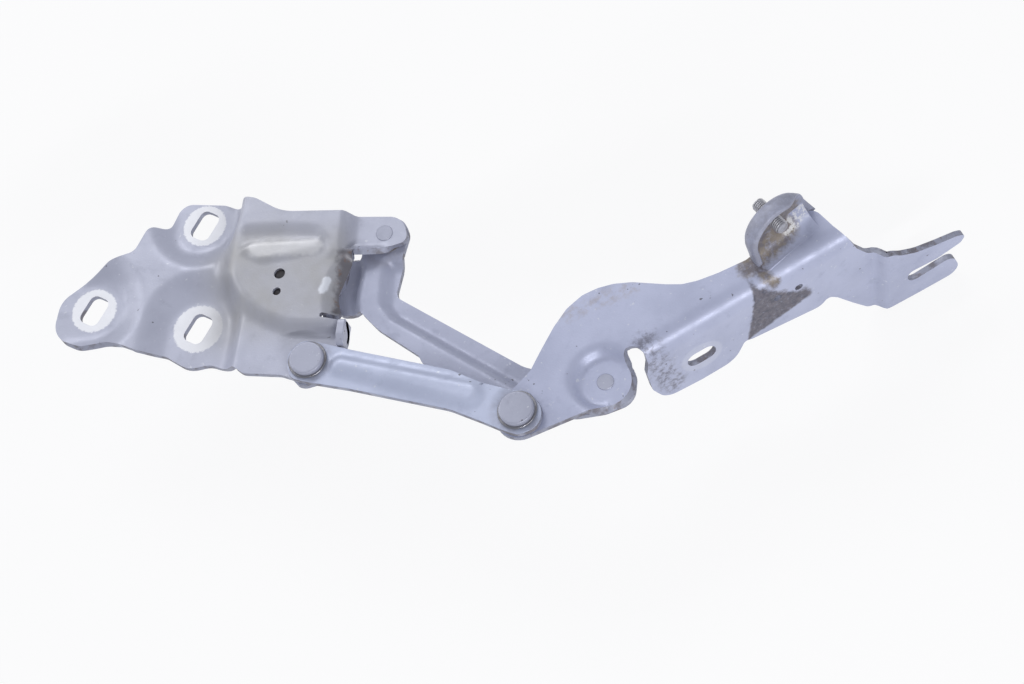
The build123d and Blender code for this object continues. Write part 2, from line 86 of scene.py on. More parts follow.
class Finish:
    """A material made of nodes."""

    def __init__(self, name):
        self.material = bpy.data.materials.new(name)
        self.material.use_nodes = True
        self.tree = self.material.node_tree
        self.tree.nodes.clear()
        self.place = self.add("ShaderNodeTexCoord", out="Object")
        self.x, self.y, self.z = (
            self.add("ShaderNodeSeparateXYZ", None, {0: self.place}, axis) for axis in "XYZ")

    def add(self, kind, settings=None, sockets=None, out=0):
        """Adds a node: its settings first, then the values or wires of its sockets."""
        node = self.tree.nodes.new(kind)
        for name, value in (settings or {}).items():
            setattr(node, name, value)
        for name, value in (sockets or {}).items():
            if isinstance(value, Wire):
                self.tree.links.new(value.socket, node.inputs[name])
            else:
                node.inputs[name].default_value = value
        return Wire(self, node.outputs[out])

    def blend(self, amount, first, second):
        """A colour between first and second."""
        return self.add("ShaderNodeMix", {"data_type": "RGBA"}, {0: amount, 6: first, 7: second}, 2)

    def noise(self, scale, detail, roughness, seed=0.0):
        """A cloudy pattern from 0 to 1, which another seed takes from elsewhere."""
        spot = self.place
        if seed:
            shift = (seed, seed * 0.7, seed * 1.3)
            spot = self.add("ShaderNodeMapping", None, {"Vector": spot, "Location": shift})
        sockets = {"Vector": spot, "Scale": scale, "Detail": detail, "Roughness": roughness}
        return self.add("ShaderNodeTexNoise", None, sockets, "Fac")

    def from_point(self, point):
        """Distance to a point, in metres."""
        sockets = {0: self.place, 1: point}
        return self.add("ShaderNodeVectorMath", {"operation": "DISTANCE"}, sockets, "Value")

    def from_axis(self, x, y):
        """Distance to an upright axis, in metres."""
        dx = self.x - x
        dy = self.y - y
        return (dx * dx + dy * dy) ** 0.5

    def close(self, colour, roughness, metallic, bump, depth):
        """Ends the finish in one surface shader, with bumps of this depth in metres."""
        normal = self.add("ShaderNodeBump", None, {"Height": bump, "Distance": depth, "Strength": 0.6})
        self.add_output(self.add("ShaderNodeBsdfPrincipled", None, {
            "Base Color": colour, "Roughness": roughness, "Metallic": metallic, "Normal": normal}))
        return self.material

    def add_output(self, shader):
        output = self.tree.nodes.new("ShaderNodeOutputMaterial")
        self.tree.links.new(shader.socket, output.inputs["Surface"])


def linear(red, green, blue):
    """A colour picked as 0 to 255, for a colour socket."""
    levels = [v / 255 for v in (red, green, blue)]
    return (*[v / 12.92 if v <= 0.04045 else ((v + 0.055) / 1.055) ** 2.4 for v in levels], 1.0)


# Shapes below are in millimetres, and plan spots are counted from pivot A
MM = 0.001
SHEET = 3.0
PIVOT_A = (64.7, -24.3)
PIVOT_B = (26.0, 67.5)
PIVOT_C = (103.0, -24.5)
PIVOT_D = (139.5, -6.5)
RIVET_HOLE_R = 4.0
BUSH_HOLE_R = 4.84
ROUND_STEPS = 40
CHORD = 1.5
ARC_CHORD = 1.1
ROW_STEP = 0.866
RIM_CLEARANCE = 0.72
PROBE = 0.3


def eased(t):
    """Goes from 0 to 1 with a soft start and end."""
    t = min(max(t, 0.0), 1.0)
    return t * t * (3 - 2 * t)


def ramp(distance, run):
    """A step of this run, halfway up at distance 0."""
    return eased(distance / run + 0.5)


def to_segment(x, y, a, b):
    """Distance from a spot to the straight line between a and b."""
    dx, dy = b[0] - a[0], b[1] - a[1]
    t = min(max(((x - a[0]) * dx + (y - a[1]) * dy) / (dx * dx + dy * dy), 0.0), 1.0)
    return hypot(x - a[0] - t * dx, y - a[1] - t * dy)


def encloses(corners, x, y):
    """Whether a closed outline goes round a spot."""
    inside = False
    for (ax, ay), (bx, by) in zip(corners, corners[1:] + corners[:1]):
        if (ay > y) != (by > y) and x < ax + (y - ay) * (bx - ax) / (by - ay):
            inside = not inside
    return inside


def inwards(corners, x, y):
    """How far inside an outline a spot lies, negative outside it."""
    reach = min(to_segment(x, y, a, b) for a, b in zip(corners, corners[1:] + corners[:1]))
    return reach if encloses(corners, x, y) else -reach


def rounded(corners, longest=CHORD):
    """Points round a closed outline whose corners are x, y and radius."""
    points = []
    for k, (x, y, radius) in enumerate(corners):
        corner = Vector((x, y))
        back = Vector(corners[k - 1][:2]) - corner
        on = Vector(corners[(k + 1) % len(corners)][:2]) - corner
        half = back.angle(on) / 2
        reach = min(radius / tan(half), 0.48 * min(back.length, on.length))
        if reach < 0.05:
            points.append(corner)
            continue
        bend = reach * tan(half)
        centre = corner + (back.normalized() + on.normalized()).normalized() * bend / sin(half)
        first = corner + back.normalized() * reach - centre
        last = corner + on.normalized() * reach - centre
        start = atan2(first.y, first.x)
        turn = (atan2(last.y, last.x) - start + pi) % (2 * pi) - pi
        steps = max(2, int(abs(turn) * bend / ARC_CHORD) + 1)
        angles = [start + turn * i / steps for i in range(steps + 1)]
        points += [centre + Vector((cos(angle), sin(angle))) * bend for angle in angles]
    closed = []
    for a, b in zip(points, points[1:] + points[:1]):
        pieces = max(1, int((b - a).length / longest + 0.999))
        closed += [tuple(a.lerp(b, i / pieces)) for i in range(pieces)]
    return closed


def round_hole(x, y, radius, steps=ROUND_STEPS):
    angles = [2 * pi * i / steps for i in range(steps)]
    return [(x + radius * cos(angle), y + radius * sin(angle)) for angle in angles]


def oblong_hole(x, y, length, width, corner, turn):
    """A slot with round corners, turned by some degrees."""
    c, s = cos(radians(turn)), sin(radians(turn))
    ends = [(u * length / 2, v * width / 2) for u, v in ((-1, -1), (1, -1), (1, 1), (-1, 1))]
    return rounded([(x + u * c - v * s, y + u * s + v * c, corner) for u, v in ends], 1.2)


def in_row(x, y, z):
    """A spot counted from pivot A in millimetres, in the frame of the model."""
    return Vector((x + PIVOT_A[0], y + PIVOT_A[1], z)) * MM


def placed(name, mesh):
    """Puts a mesh into the scene as a piece of its own."""
    piece = bpy.data.objects.new(name, mesh)
    bpy.context.scene.collection.objects.link(piece)
    return piece


def wear_edges(piece, width, segments, angle):
    """Rounds the edges sharper than this angle, as wear does."""
    edge = piece.modifiers.new("worn_edge", "BEVEL")
    edge.width = width * MM
    edge.segments = segments
    edge.limit_method = "ANGLE"
    edge.angle_limit = radians(angle)
    edge.harden_normals = True


def closed_mesh(name, spots, faces, split=False):
    """A smooth closed mesh whose faces look outwards, with its wide faces split if asked."""
    mesh = bpy.data.meshes.new(name)
    mesh.from_pydata(spots, [], faces)
    work = bmesh.new()
    work.from_mesh(mesh)
    if split:
        bmesh.ops.triangulate(work, faces=[f for f in work.faces if len(f.verts) > 4])
    bmesh.ops.recalc_face_normals(work, faces=work.faces)
    work.to_mesh(mesh)
    work.free()
    mesh.shade_smooth()
    return mesh


def in_sheet(x, y, outline, holes):
    return encloses(outline, x, y) and not any(encloses(hole, x, y) for hole in holes)


def filled(outline, holes, pitch):
    """Spots at about this pitch over an outline with holes, and the triangles between them."""
    spots, edges = [], []
    for loop in [outline] + holes:
        first = len(spots)
        spots += [Vector(p) for p in loop]
        edges += [(first + i, first + (i + 1) % len(loop)) for i in range(len(loop))]
    rim = KDTree(len(spots))
    for i, spot in enumerate(spots):
        rim.insert((*spot, 0), i)
    rim.balance()
    low_x, high_x = min(p[0] for p in outline), max(p[0] for p in outline)
    y, high_y = min(p[1] for p in outline), max(p[1] for p in outline)
    indent = 0.0
    while y < high_y:
        x = low_x + indent
        while x < high_x:
            if rim.find((x, y, 0))[2] > RIM_CLEARANCE * pitch and in_sheet(x, y, outline, holes):
                spots.append(Vector((x, y)))
            x += pitch
        y += pitch * ROW_STEP
        indent = pitch / 2 - indent
    spots, _, triangles = delaunay_2d_cdt(spots, edges, [], 0, 1e-5)[:3]
    kept = []
    for a, b, c in triangles:
        middle = (spots[a] + spots[b] + spots[c]) / 3
        if in_sheet(*middle, outline, holes):
            across = (spots[b] - spots[a]).cross(spots[c] - spots[a])
            kept.append((a, b, c) if across > 0 else (a, c, b))
    return spots, kept


def pressed_sheet(name, outline, holes, face, pitch=1.7):
    """A pressed sheet: its outline and holes in plan, and face, its outer surface over a plan spot."""
    spots, triangles = filled(outline, holes, pitch)
    top, under = [], []
    for x, y in spots:
        along = face(x + PROBE, y) - face(x - PROBE, y)
        aside = face(x, y + PROBE) - face(x, y - PROBE)
        normal = along.cross(aside).normalized()
        top.append(face(x, y))
        under.append(top[-1] - normal * SHEET * MM)
    n = len(spots)
    sides = dict.fromkeys(side for a, b, c in triangles for side in ((a, b), (b, c), (c, a)))
    below = [(a + n, c + n, b + n) for a, b, c in triangles]
    sheared = [(q, p, p + n, q + n) for p, q in sides if (q, p) not in sides]
    mesh = bpy.data.meshes.new(name)
    mesh.from_pydata(top + under, [], triangles + below + sheared)
    for side in mesh.polygons[2 * len(triangles):]:
        side.material_index = 1
    work = bmesh.new()
    work.from_mesh(mesh)
    bmesh.ops.delete(work, geom=[v for v in work.verts if not v.link_faces], context="VERTS")
    work.to_mesh(mesh)
    work.free()
    mesh.shade_smooth()
    piece = placed(name, mesh)
    wear_edges(piece, 0.4, 2, 50)
    return piece


# Body bracket
PAD_LEVEL = 3.0
PAD_R = 13.2
PAD_RUNS = (16, 14, 16)
LOW_LEVEL = 9.0
PLATEAU_RISE = 7.1
PANEL_RISE = 5.5
RIDGE_RISE = 1.5
DART_RISE = 0.9
LIP_DROP = 5.6
LIP_FOOT = 22.0
LIP_TOP = 58.5
SLOT_LENGTH = 15.0
SLOT_WIDTH = 10.5
SLOT_CORNER = 3.4
SLOT_TURN = 67.0
GAUGE_HOLE = (-20.5, 44.0, 2.7)
DRAIN_HOLE = (-20.4, 34.7, 2.0)
slot_places = ((-120.0, 34.0), (-71.0, 79.5), (-64.7, 24.3))
slot_ends = ((-150.0, 30.0), (-71.0, 110.0), (-66.0, -6.0))
plateau = [(-43, -70), (100, -70), (100, 150), (-53, 150), (-53, 44), (-43.5, 20)]
panel = [
    (6.4, 16.5), (90, 16.5), (90, 58), (9.4, 58), (7, 150), (-48, 150), (-48, 35.4), (-35, 28),
    (-24.5, 21.4), (-13.5, 17.5)]
ridge = [
    (-60, 66.8), (-41, 66.8), (-20, 67.8), (-6, 66.6), (0.5, 61), (3, 54), (40, 54), (40, 150), (-60, 150)]
dart = [(-42.8, 56.2), (-37.8, 60), (-4, 61.8), (-2.3, 56.4), (-14, 53.6), (-31, 50.4)]
panel_edge = [(5.6, 12), (3.2, 24), (2.2, 34), (3.6, 44), (7.2, 54), (8.6, 58), (40, 58), (40, 12)]


def bracket_height(x, y):
    """The bracket's outer face: slot pads, the plateau, the raised panel and its folded lip."""
    z = LOW_LEVEL + PLATEAU_RISE * ramp(inwards(plateau, x, y), 14)
    raised = ramp(inwards(panel, x, y), 6 + 7 * eased((-28 - x) / 14))
    z += PANEL_RISE * raised + RIDGE_RISE * raised * ramp(inwards(ridge, x, y), 5.5)
    z += DART_RISE * ramp(inwards(dart, x, y), 3)
    for place, end, run in zip(slot_places, slot_ends, PAD_RUNS):
        z = PAD_LEVEL + (z - PAD_LEVEL) * eased((to_segment(x, y, place, end) - PAD_R) / run)
    if y > LIP_FOOT and x > 0:
        fold = ramp(inwards(panel_edge, x, y) - 3.4, 7.0)
        z -= LIP_DROP * fold * eased((LIP_TOP - y) / 3) * eased((y - LIP_FOOT) / 3)
    return z


bracket_outline = rounded([
    (-92, 10.6, 12), (-79, 10, 8), (-66, 3, 12), (-55, 5.6, 10), (-39, -0.6, 7), (-32.5, -4.8, 6),
    (-14, -5.5, 6), (-8, -7.2, 3), (-4.4, -10.7, 3), (-1, -11.35, 6), (7.5, -8.6, 6), (11.4, 0, 6),
    (12.2, 6, 3), (16, 10, 2), (16, 20.1, 1), (11.6, 20.1, 2), (2.6, 21.6, 0.8), (2.6, 23.7, 0.8),
    (10.8, 24.0, 2), (8.4, 34, 8), (12.4, 50, 6), (13.6, 57.5, 1.2), (17.4, 57.2, 8), (28.3, 60.3, 5),
    (38.2, 63.4, 4), (33.8, 76.2, 9), (9, 76.4, 8), (-24.2, 76.2, 24), (-38.5, 83.6, 9),
    (-47.5, 85.2, 8), (-62, 90.5, 10), (-84.3, 91.4, 7), (-88, 76.6, 4), (-97.3, 76.4, 5),
    (-102.4, 63, 6), (-115, 58.6, 14), (-138.3, 39, 12), (-139.2, 20, 14), (-123, 14.2, 10),
    (-110, 16.6, 12)])
bracket_holes = [oblong_hole(x, y, SLOT_LENGTH, SLOT_WIDTH, SLOT_CORNER, SLOT_TURN) for x, y in slot_places]
bracket_holes += [round_hole(*GAUGE_HOLE), round_hole(*DRAIN_HOLE)]
bracket_holes += [round_hole(0, 0, RIVET_HOLE_R), round_hole(*PIVOT_B, RIVET_HOLE_R)]
bracket = pressed_sheet("pressed_bracket", bracket_outline, bracket_holes,
                        lambda x, y: in_row(x, y, bracket_height(x, y)))
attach(bracket, "bracket")
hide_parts("body_bracket")

# Front link with its soft rib
FRONT_FACE = 19.65
RIB_RISE = 2.1
RIB_RUN = 5.2
RIB_HALF = 3.6
RIB_WIDENS = 1.8
rib_line = ((16, -2.2), (79, -16.4))


def front_link_height(x, y):
    """The link's outer face, with a rib that widens towards pivot C."""
    reach = to_segment(x, y, *rib_line)
    along = min(max((x - rib_line[0][0]) / (rib_line[1][0] - rib_line[0][0]), 0), 1)
    half = RIB_HALF + RIB_WIDENS * along
    return FRONT_FACE + RIB_RISE * eased((half + RIB_RUN / 2 - reach) / RIB_RUN)


front_outline = rounded([
    (-7.6, -9.0, 9), (-1, -10.5, 4), (22, -14.2, 20), (71, -24, 30), (86, -29.6, 30), (97.5, -34.2, 6),
    (104.5, -36.4, 10), (113.6, -32.4, 9), (114.6, -22.6, 10), (106.4, -14.4, 8), (98.6, -14.1, 10),
    (84, -10.4, 20), (69, -4.2, 30), (19.4, 5.8, 20), (4.4, 9.4, 5), (-5, 10.8, 9), (-11.6, 2.4, 9)])
front_holes = [round_hole(0, 0, BUSH_HOLE_R), round_hole(*PIVOT_C, BUSH_HOLE_R)]
front = pressed_sheet("pressed_front_link", front_outline, front_holes,
                      lambda x, y: in_row(x, y, front_link_height(x, y)))
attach(front, "front")
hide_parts("front_link")

# Rear link: a raised band that goes round the corner, with lower edges
REAR_FACE = 8.05
BAND_RISE = 4.5
BAND_RUN = 5.5
EYE_R = 5.15
rear_band = [
    (30, 53), (48, 53), (48, 94), (2, 94), (2, 58), (12, 56), (13.6, 52), (13.6, 33), (18, 17), (28, 2),
    (60, -40), (116, -44), (103, -9), (36.5, 27.5), (31.3, 34)]


def rear_link_height(x, y):
    """The link's outer face: its raised band over the lower edges."""
    return REAR_FACE + BAND_RISE * ramp(inwards(rear_band, x, y) - 1.8, BAND_RUN)


rear_outline = rounded([
    (14.6, 64, 8), (15.4, 56.2, 1.5), (5, 57, 4), (1.5, 33, 5), (9, 28.4, 4), (18.5, 28.8, 3),
    (28.8, 19.3, 20), (50.2, 6.1, 2), (52.5, 2.4, 2), (96, -21.8, 14), (127, -22.0, 10),
    (140, -19.6, 12), (152.6, -14.0, 9), (152.4, 0.8, 9), (143.5, 6.6, 9), (132, 5.2, 12), (115, 0, 30),
    (100.5, 1.9, 20), (33.4, 38.2, 5), (35.6, 60, 6), (36.9, 69, 7), (33, 77.0, 8), (20.5, 77.0, 8),
    (15.0, 71, 8)])
# The eye is long enough for the arm's pivot over the whole travel
eye_travel = (
    (-2.55, -4.13), (-0.52, -1.8), (1.42, -0.07), (3.04, 1.03), (4.58, 1.57), (4.11, 1.2), (2.62, 0.61),
    (0, 0))
eye_spots = [spot for dx, dy in eye_travel for spot in round_hole(PIVOT_D[0] + dx, PIVOT_D[1] + dy, EYE_R)]
rear_eye = [eye_spots[i] for i in convex_hull_2d(eye_spots)]
rear = pressed_sheet("pressed_rear_link", rear_outline, [round_hole(*PIVOT_B, BUSH_HOLE_R), rear_eye],
                     lambda x, y: in_row(x, y, rear_link_height(x, y)))
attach(rear, "rear")
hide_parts("rear_link")


def plate(name, corners, low, high, place):
    """A plate with worn edges: corners in its own plane, and place, which puts its spots in the model."""
    n = len(corners)
    spots = [place(u, v, level) for level in (low, high) for u, v in corners]
    faces = [tuple(range(n - 1, -1, -1)), tuple(range(n, 2 * n))]
    faces += [(i, (i + 1) % n, n + (i + 1) % n, n + i) for i in range(n)]
    piece = placed(name, closed_mesh(name, spots, faces))
    wear_edges(piece, 0.6, 3, 40)
    return piece


TAB_NEAR = 12.4
TAB_FAR = 16.0
# Levels and size of the dark discs under the small holes, which are painted shade
SHADE_DISC_LOW = 18.9
SHADE_DISC_HIGH = 20.4
SHADE_DISC_SPARE = 0.05
SHADE_DISC_STEPS = 24
tab_outline = rounded([
    (20.1, 13.2, 0.5), (20.1, 23.1, 1.2), (12.2, 23.1, 1.5), (7.9, 20.6, 2), (7.9, 13.2, 0.5)])
tab = plate("stop_tab", tab_outline, TAB_NEAR, TAB_FAR, lambda u, v, w: in_row(w, u, v))


def shade_disc_under_hole(name, x, y, radius):
    """A dark disc under a round hole: painted shade that stands in for the dark inside of the hole."""
    return plate(name, round_hole(x, y, radius + SHADE_DISC_SPARE, SHADE_DISC_STEPS), SHADE_DISC_LOW, SHADE_DISC_HIGH, in_row)


# The two dark discs under the small holes are painted shade, standing in for the dark inside of the holes
gauge_hole_shading = shade_disc_under_hole("gauge_hole_painted_shade", *GAUGE_HOLE)
drain_hole_shading = shade_disc_under_hole("drain_hole_painted_shade", *DRAIN_HOLE)
for piece in (gauge_hole_shading, drain_hole_shading):
    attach(piece, "bracket")
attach(tab, "bracket")


# Bonnet arm, laid out flat: s along the flange from pivot D, t across from where the web's bend starts
ARM_ANGLE = 33.7
WEB_TOP = 16.1
BEND_R = 9.0
BEND_RUN = BEND_R * pi / 2
FLANGE_FACE = -1.0
LOBE_END = 17.1
DISH_DEPTH = 4.5
DISH_FLOOR_R = 12.0
DISH_RUN = 5.6
JOG_START = 128.6
JOG_SLOPE = 0.16
JOG_RUN = 5.2
JOG_DEPTH = 5.0
LOBE_C_R = 11.5
LOBE_D_R = 12.0
PIVOT_ACROSS = -BEND_R - FLANGE_FACE
LOBE_C = (-40.35, 5.27 + PIVOT_ACROSS)
BONNET_SLOT = (44.2, -32.3, 14.5, 10, 4.7, 0)
CLIP_HOLES = ((86.3, -20.6), (97, -21.5))
CLIP_HOLE_R = 2.0
CLIP_STEPS = 20
arm_along = Vector((cos(radians(ARM_ANGLE)), sin(radians(ARM_ANGLE))))
arm_across = Vector((-arm_along.y, arm_along.x))


def in_arm(u, v, z):
    """A spot in the arm's own frame (along, across, up), in the frame of the model."""
    spot = Vector(PIVOT_D) + arm_along * u + arm_across * v
    return in_row(spot.x, spot.y, z)


def arm_face(s, t):
    """The arm's outer face over its flat layout: web, bend and flange, the dish at pivot D and the jog."""
    if s < LOBE_END or t > 0:
        v, z = BEND_R + FLANGE_FACE + t, WEB_TOP
    elif t > -BEND_RUN:
        v = FLANGE_FACE + BEND_R * (1 - sin(-t / BEND_R))
        z = WEB_TOP - BEND_R * (1 - cos(t / BEND_R))
    else:
        v, z = FLANGE_FACE, WEB_TOP - BEND_R + t + BEND_RUN
    dish = min(max((hypot(s, v) - DISH_FLOOR_R) / DISH_RUN, 0), 1)
    if s < LOBE_END or t > -2:
        z -= DISH_DEPTH * (1 - dish) ** 2
    jogged = eased((s - (JOG_START + JOG_SLOPE * (z + 60)) + JOG_RUN / 2) / JOG_RUN)
    return in_arm(s, v - JOG_DEPTH * jogged, z)


def arc(x, y, r, start, stop, steps=14):
    """Corners with no radius round part of a circle, in degrees."""
    angles = [radians(start + (stop - start) * i / steps) for i in range(steps + 1)]
    return [(x + r * cos(angle), y + r * sin(angle), 0) for angle in angles]


arm_outline = rounded(
    arc(*LOBE_C, LOBE_C_R, 118, 261) + arc(0, PIVOT_ACROSS, LOBE_D_R, 261, 364)
    + [(12.2, -5.2, 2), (12.9, -2.6, 2), (14.6, -0.9, 2), (17.3, -0.8, 2), (20.0, -2.6, 3),
       (21.4, -7, 4), (20.6, -14, 5), (18.2, -21.7, 5), (17.4, -37.2, 8), (21.5, -50.4, 9),
       (40, -52.2, 10), (57.5, -51.8, 12), (65.2, -40.6, 4), (68.5, -42.4, 3), (103.7, -48.2, 6),
       (108.4, -43.8, 4), (112.4, -49.2, 6), (118.5, -61.5, 12), (125.0, -73.4, 6), (134.8, -75.2, 10),
       (150, -76.0, 20), (171.2, -76.6, 6.4), (168.8, -61.2, 5.2), (156, -62.2, 6), (145.4, -62.8, 4.5),
       (144.9, -53.8, 4.4), (161, -55.4, 10), (174.0, -53.2, 3.5), (177.4, -48.8, 3.2),
       (172.8, -46.0, 4), (162.6, -43.3, 15), (152.5, -40.0, 15), (145.5, -35.4, 10), (140.8, -30.4, 8),
       (136.0, -29.8, 6), (131.6, -26.0, 6), (127.7, -17.0, 8), (126.0, -8.5, 8), (123.0, 0, 8),
       (119.8, 14.8, 6), (82, 7.6, 6), (68.4, 9.0, 10), (58.5, 10.9, 10), (51.8, 13.3, 8),
       (45.8, 17.3, 8), (33.3, 27.1, 12), (25.7, 31.2, 10), (18.6, 33.4, 9), (10.9, 34.2, 9),
       (1.8, 32.2, 9), (-7.5, 27.3, 10), (-19, 19.3, 12), (-26.7, 13.6, 10)])
arm_holes = [round_hole(*LOBE_C, RIVET_HOLE_R), round_hole(0, PIVOT_ACROSS, RIVET_HOLE_R)]
arm_holes += [oblong_hole(*BONNET_SLOT)]
arm_holes += [round_hole(*place, CLIP_HOLE_R, CLIP_STEPS) for place in CLIP_HOLES]
arm = pressed_sheet("pressed_bonnet_arm", arm_outline, arm_holes, arm_face, pitch=1.8)
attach(arm, "arm")
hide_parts("bonnet_arm")

# Lug for the gas strut: a cup turned up at the web's far edge
LUG_PLACE = (100.4, 18.0)
LUG_Z = 28.2
LUG_R = 17.0
LUG_FOOT = 13.4
LUG_SPREAD = 4.0
SIDE_STEPS = 8
TOP_STEPS = 32
RIM_END = 37
RIM_FADE = 9
FILLET_R = 10.5
FILLET_CENTRE = 26.65
FILLET_LOW = 14.5
WALL_DEPTH = -1.0
lug_turn = radians(11)
lug_section = [
    (7.5, 0.0), (5.6, 0.35), (4.2, 1.3), (3.3, 2.6), (3.0, 3.8), (2.9, 5.6), (2.4, 6.2), (1.1, 6.2),
    (0.3, 5.7), (0.0, 4.8), (0.0, 2.0), (0.5, -0.4), (1.7, -2.1), (3.6, -2.9), (7.5, -3.0)]


def in_lug(u, v, w):
    """A spot of the lug: u along its wall, v up, w out of the wall towards the open side."""
    along = u * cos(lug_turn) + w * sin(lug_turn)
    across = u * sin(lug_turn) - w * cos(lug_turn)
    return in_arm(LUG_PLACE[0] + along, LUG_PLACE[1] + across, v)


def lug_stations():
    """Spots round the lug's outline from the lower left, each with the way inwards."""
    rise = LUG_Z - LUG_FOOT
    stations = [(-LUG_R, LUG_FOOT + rise * i / SIDE_STEPS, 1.0, 0.0) for i in range(SIDE_STEPS)]
    for i in range(TOP_STEPS + 1):
        turn = pi - pi * i / TOP_STEPS
        stations.append((LUG_R * cos(turn), LUG_Z + LUG_R * sin(turn), -cos(turn), -sin(turn)))
    stations += [(LUG_R + LUG_SPREAD * i / SIDE_STEPS, LUG_Z - rise * i / SIDE_STEPS, -0.97, -0.24)
                 for i in range(1, SIDE_STEPS + 1)]
    return stations


def strut_lug():
    """The cup: its section goes round its outline, and its rim fades out on the right."""
    stations = lug_stations()
    spots = []
    for i, (u, v, du, dv) in enumerate(stations):
        rim = eased((RIM_END - i) / RIM_FADE)
        for d, w in lug_section:
            depth = w if w <= 0 else w * rim
            inset = d if depth < 0.5 and w < 0.2 else d * rim + min(d, 1.2) * (1 - rim)
            spots.append(in_lug(u + du * inset, v + dv * inset, depth))
    m, n = len(stations), len(lug_section)
    corners = [i * n + j for i in range(m - 1) for j in range(n - 1)]
    faces = [(a, a + 1, a + n + 1, a + n) for a in corners]
    faces.append(tuple(i * n for i in range(m)))
    faces.append(tuple((m - 1 - i) * n + n - 1 for i in range(m)))
    faces.append(tuple(range(n - 1, -1, -1)))
    faces.append(tuple((m - 1) * n + j for j in range(n)))
    faces.append((0, n - 1, m * n - 1, (m - 1) * n))
    mesh = closed_mesh("strut_lug", spots, faces, split=True)
    mesh.set_sharp_from_angle(angle=radians(50))
    return placed("strut_lug", mesh)


lug = strut_lug()
fillet_turns = [radians(a) for a in range(0, 91, 6)]
fillet_outline = [(WALL_DEPTH, FILLET_LOW), (FILLET_R + 0.2, FILLET_LOW)]
fillet_outline += [
    (FILLET_R - FILLET_R * sin(turn), FILLET_CENTRE - FILLET_R * cos(turn)) for turn in fillet_turns]
fillet_outline += [(WALL_DEPTH, FILLET_CENTRE)]
fillet = plate("lug_fillet", fillet_outline, -LUG_R + 1.0, LUG_R - 1.0, lambda w, v, u: in_lug(u, v, w))
for piece in (lug, fillet):
    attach(piece, "arm")

STUD_BACK = -11.0
STUD_FRONT = 7.0
STUD_R = 3.3
STUD_RISE = 4.0
STUD_END_RUN = 0.9
STUD_END_TAPER = 0.5
THREAD_PITCH = 1.0
THREAD_DEPTH = 0.34
TURN_STEPS = 40
ROWS_PER_PITCH = 8


def threaded_stud():
    """The strut's stud across the lug's wall, with a thread that runs out at both ends."""
    rows = int((STUD_FRONT - STUD_BACK) / THREAD_PITCH * ROWS_PER_PITCH)
    spots = []
    for i in range(rows + 1):
        w = STUD_BACK + (STUD_FRONT - STUD_BACK) * i / rows
        ends = eased(min(w - STUD_BACK, STUD_FRONT - w) / STUD_END_RUN)
        for k in range(TURN_STEPS):
            turn = k / TURN_STEPS
            wave = abs(((w / THREAD_PITCH - turn) % 1.0) * 2 - 1)
            r = STUD_R - STUD_END_TAPER * (1 - ends) - THREAD_DEPTH * wave * ends
            spots.append(in_lug(r * cos(2 * pi * turn), LUG_Z + STUD_RISE + r * sin(2 * pi * turn), w))
    faces = []
    for low in range(0, rows * TURN_STEPS, TURN_STEPS):
        for k in range(TURN_STEPS):
            on = (k + 1) % TURN_STEPS
            faces.append((low + k, low + on, low + TURN_STEPS + on, low + TURN_STEPS + k))
    faces += [tuple(range(TURN_STEPS)), tuple(rows * TURN_STEPS + k for k in range(TURN_STEPS))]
    mesh = closed_mesh("threaded_stud", spots, faces)
    mesh.set_sharp_from_angle(angle=radians(60))
    return placed("threaded_stud", mesh)


stud = threaded_stud()
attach(stud, "arm")
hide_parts("strut_stud")


# Finishes
WHITE_METAL = linear(206, 209, 217)
PRIMER = linear(232, 233, 238)
RUST = linear(112, 84, 66)
GREASE = linear(86, 72, 60)
LINK_GREASE = linear(128, 126, 138)
CHARCOAL = linear(78, 77, 84)
PANEL_SOIL = linear(158, 158, 161)
# Dark grey of the folded lip: metal, and painted shade of the deep shadow along the fold
LIP_METAL_AND_SHADE = linear(98, 96, 102)
RUBBED = linear(226, 230, 240)
PALE_CREST = linear(222, 222, 224)
WEB_SOIL = linear(150, 138, 130)
SCUFF = linear(112, 112, 126)
PATCH_DARK = linear(76, 75, 86)
PATCH_LIGHT = linear(106, 101, 109)
BROWN = linear(122, 112, 100)
BROWN_GREY = linear(100, 94, 98)
FLAKE = linear(214, 214, 216)
BOLT_PRINT = linear(222, 224, 232)
LUG_DIRT = linear(116, 113, 120)
# Colours of the cup's inside: grease, with painted shade of the hollow
CUP_GREASE_AND_SHADE_DEEP = linear(112, 106, 104)
CUP_GREASE_AND_SHADE_PALE = linear(140, 130, 122)
SHEARED_PALE = linear(148, 151, 168)
SHEARED_DARK = linear(104, 99, 104)
SHEARED_PAINT = linear(170, 173, 188)
PAINT_METALLIC = 0.2
RING_REACHES = (11.8, 11.2, 12.8)


def painted_steel(name, shade, marks=None):
    """Satin paint over steel: a faint mottle, specks, and the marks of one piece."""
    paint = Finish(name)
    broad = paint.noise(26, 5, 0.62, seed=0.31)
    cloud = paint.noise(140, 5, 0.6, seed=0.17)
    fine = paint.noise(1100, 2, 0.6)
    colour = paint.blend(broad.step(0.35, 0.68) * 0.75, linear(*shade), linear(*[v - 15 for v in shade]))
    colour = paint.blend(cloud.step(0.56, 0.74) * 0.35, colour, linear(*[v - 34 for v in shade]))
    colour = paint.blend(paint.noise(420, 3, 0.6, seed=0.5).step(0.66, 0.72) * 0.55, colour, WHITE_METAL)
    colour = paint.blend(paint.noise(330, 2, 0.5, seed=0.9).step(0.735, 0.76) * 0.8, colour, CHARCOAL)
    rough = cloud.step(0.3, 0.7, 0.36, 0.48)
    if marks:
        colour, rough = marks(paint, colour, rough)
    return paint.close(colour, rough, PAINT_METALLIC, fine * 0.6 + cloud, 0.00012)


def from_pivot_a(paint):
    """How far a spot lies from pivot A, along and across the model."""
    return paint.x / MM - PIVOT_A[0], paint.y / MM - PIVOT_A[1]


